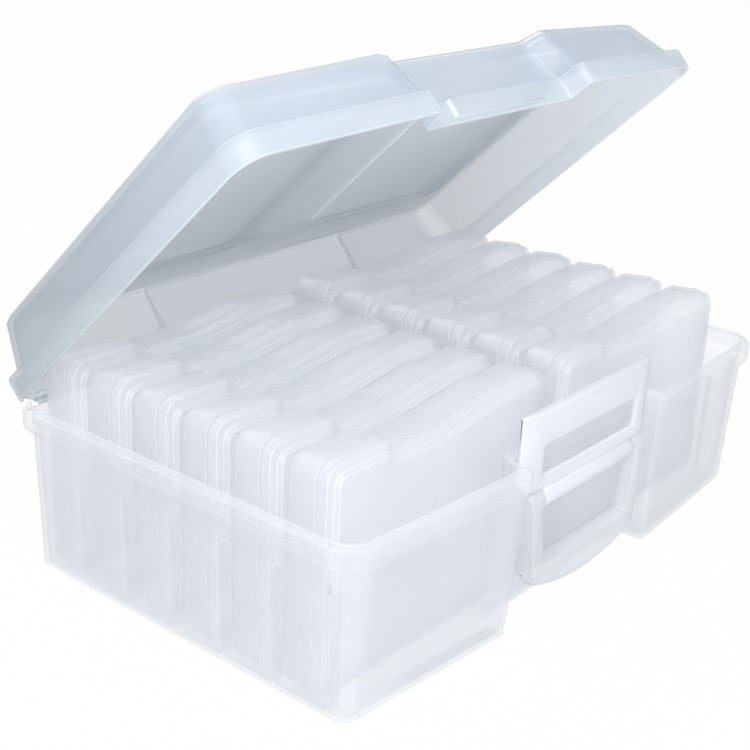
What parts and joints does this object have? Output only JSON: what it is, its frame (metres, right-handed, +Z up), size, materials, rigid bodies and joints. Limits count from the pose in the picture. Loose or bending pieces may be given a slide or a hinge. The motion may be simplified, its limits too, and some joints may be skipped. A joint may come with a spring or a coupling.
{
  "type": "photo keeper case",
  "caption": "Hinged translucent plastic carrying case with latch and bail handle, holding two columns of slim upright photo boxes with clip-on lids.",
  "frame": {"origin": "middle of the flat underside of the base", "axes": "+X to the right along the front, +Y from the front to the hinge at the back, +Z up"},
  "size_m": [0.3754, 0.2568, 0.2715],
  "materials": {
    "shell_plastic": "satin translucent polypropylene",
    "fitting_plastic": "satin milky polypropylene",
    "inner_plastic": "smooth translucent polypropylene",
    "pin_plastic": "plain moulded"
  },
  "bodies": {
    "base": {"base": "shell_plastic", "hinge_pin_left": "pin_plastic", "hinge_pin_right": "pin_plastic", "pivot_pin_left": "pin_plastic", "pivot_pin_right": "pin_plastic"},
    "lid": {"lid": "shell_plastic"},
    "latch": {"latch": "fitting_plastic"},
    "handle": {"handle": "fitting_plastic"},
    "case_left_1": {"tray_left_1": "inner_plastic", "case_lid_left_1": "inner_plastic"},
    "case_left_2": {"tray_left_2": "inner_plastic", "case_lid_left_2": "inner_plastic"},
    "case_left_3": {"tray_left_3": "inner_plastic", "case_lid_left_3": "inner_plastic"},
    "case_left_4": {"tray_left_4": "inner_plastic", "case_lid_left_4": "inner_plastic"},
    "case_left_5": {"tray_left_5": "inner_plastic", "case_lid_left_5": "inner_plastic"},
    "case_left_6": {"tray_left_6": "inner_plastic", "case_lid_left_6": "inner_plastic"},
    "case_right_1": {"tray_right_1": "inner_plastic", "case_lid_right_1": "inner_plastic"},
    "case_right_2": {"tray_right_2": "inner_plastic", "case_lid_right_2": "inner_plastic"},
    "case_right_3": {"tray_right_3": "inner_plastic", "case_lid_right_3": "inner_plastic"},
    "case_right_4": {"tray_right_4": "inner_plastic", "case_lid_right_4": "inner_plastic"},
    "case_right_5": {"tray_right_5": "inner_plastic", "case_lid_right_5": "inner_plastic"},
    "case_right_6": {"tray_right_6": "inner_plastic", "case_lid_right_6": "inner_plastic"}
  },
  "joints": [
    {"name": "lid_hinge", "type": "hinge", "parent": "base", "child": "lid", "pos_m": [0, 0.1112, 0.0906], "axis": [-1, 0, 0], "range_deg": [-43.6, 56]},
    {"name": "latch_hinge", "type": "hinge", "parent": "base", "child": "latch", "pos_m": [0, -0.1105, 0.0655], "axis": [1, 0, 0], "range_deg": [-3.6, 90]},
    {"name": "handle_hinge", "type": "hinge", "parent": "base", "child": "handle", "pos_m": [0, -0.1105, 0.0655], "axis": [1, 0, 0], "range_deg": [-90, 0]},
    {"name": "case_lift_left_1", "type": "slide", "parent": "base", "child": "case_left_1", "axis": [0, 0, 1], "range_m": [0, 0.024]},
    {"name": "case_lift_left_2", "type": "slide", "parent": "base", "child": "case_left_2", "axis": [0, 0, 1], "range_m": [0, 0.055]},
    {"name": "case_lift_left_3", "type": "slide", "parent": "base", "child": "case_left_3", "axis": [0, 0, 1], "range_m": [0, 0.082]},
    {"name": "case_lift_left_4", "type": "slide", "parent": "base", "child": "case_left_4", "axis": [0, 0, 1], "range_m": [0, 0.105]},
    {"name": "case_lift_left_5", "type": "slide", "parent": "base", "child": "case_left_5", "axis": [0, 0, 1], "range_m": [0, 0.11]},
    {"name": "case_lift_left_6", "type": "slide", "parent": "base", "child": "case_left_6", "axis": [0, 0, 1], "range_m": [0, 0.12]},
    {"name": "case_lift_right_1", "type": "slide", "parent": "base", "child": "case_right_1", "axis": [0, 0, 1], "range_m": [0, 0.024]},
    {"name": "case_lift_right_2", "type": "slide", "parent": "base", "child": "case_right_2", "axis": [0, 0, 1], "range_m": [0, 0.055]},
    {"name": "case_lift_right_3", "type": "slide", "parent": "base", "child": "case_right_3", "axis": [0, 0, 1], "range_m": [0, 0.082]},
    {"name": "case_lift_right_4", "type": "slide", "parent": "base", "child": "case_right_4", "axis": [0, 0, 1], "range_m": [0, 0.105]},
    {"name": "case_lift_right_5", "type": "slide", "parent": "base", "child": "case_right_5", "axis": [0, 0, 1], "range_m": [0, 0.11]},
    {"name": "case_lift_right_6", "type": "slide", "parent": "base", "child": "case_right_6", "axis": [0, 0, 1], "range_m": [0, 0.12]}
  ]
}
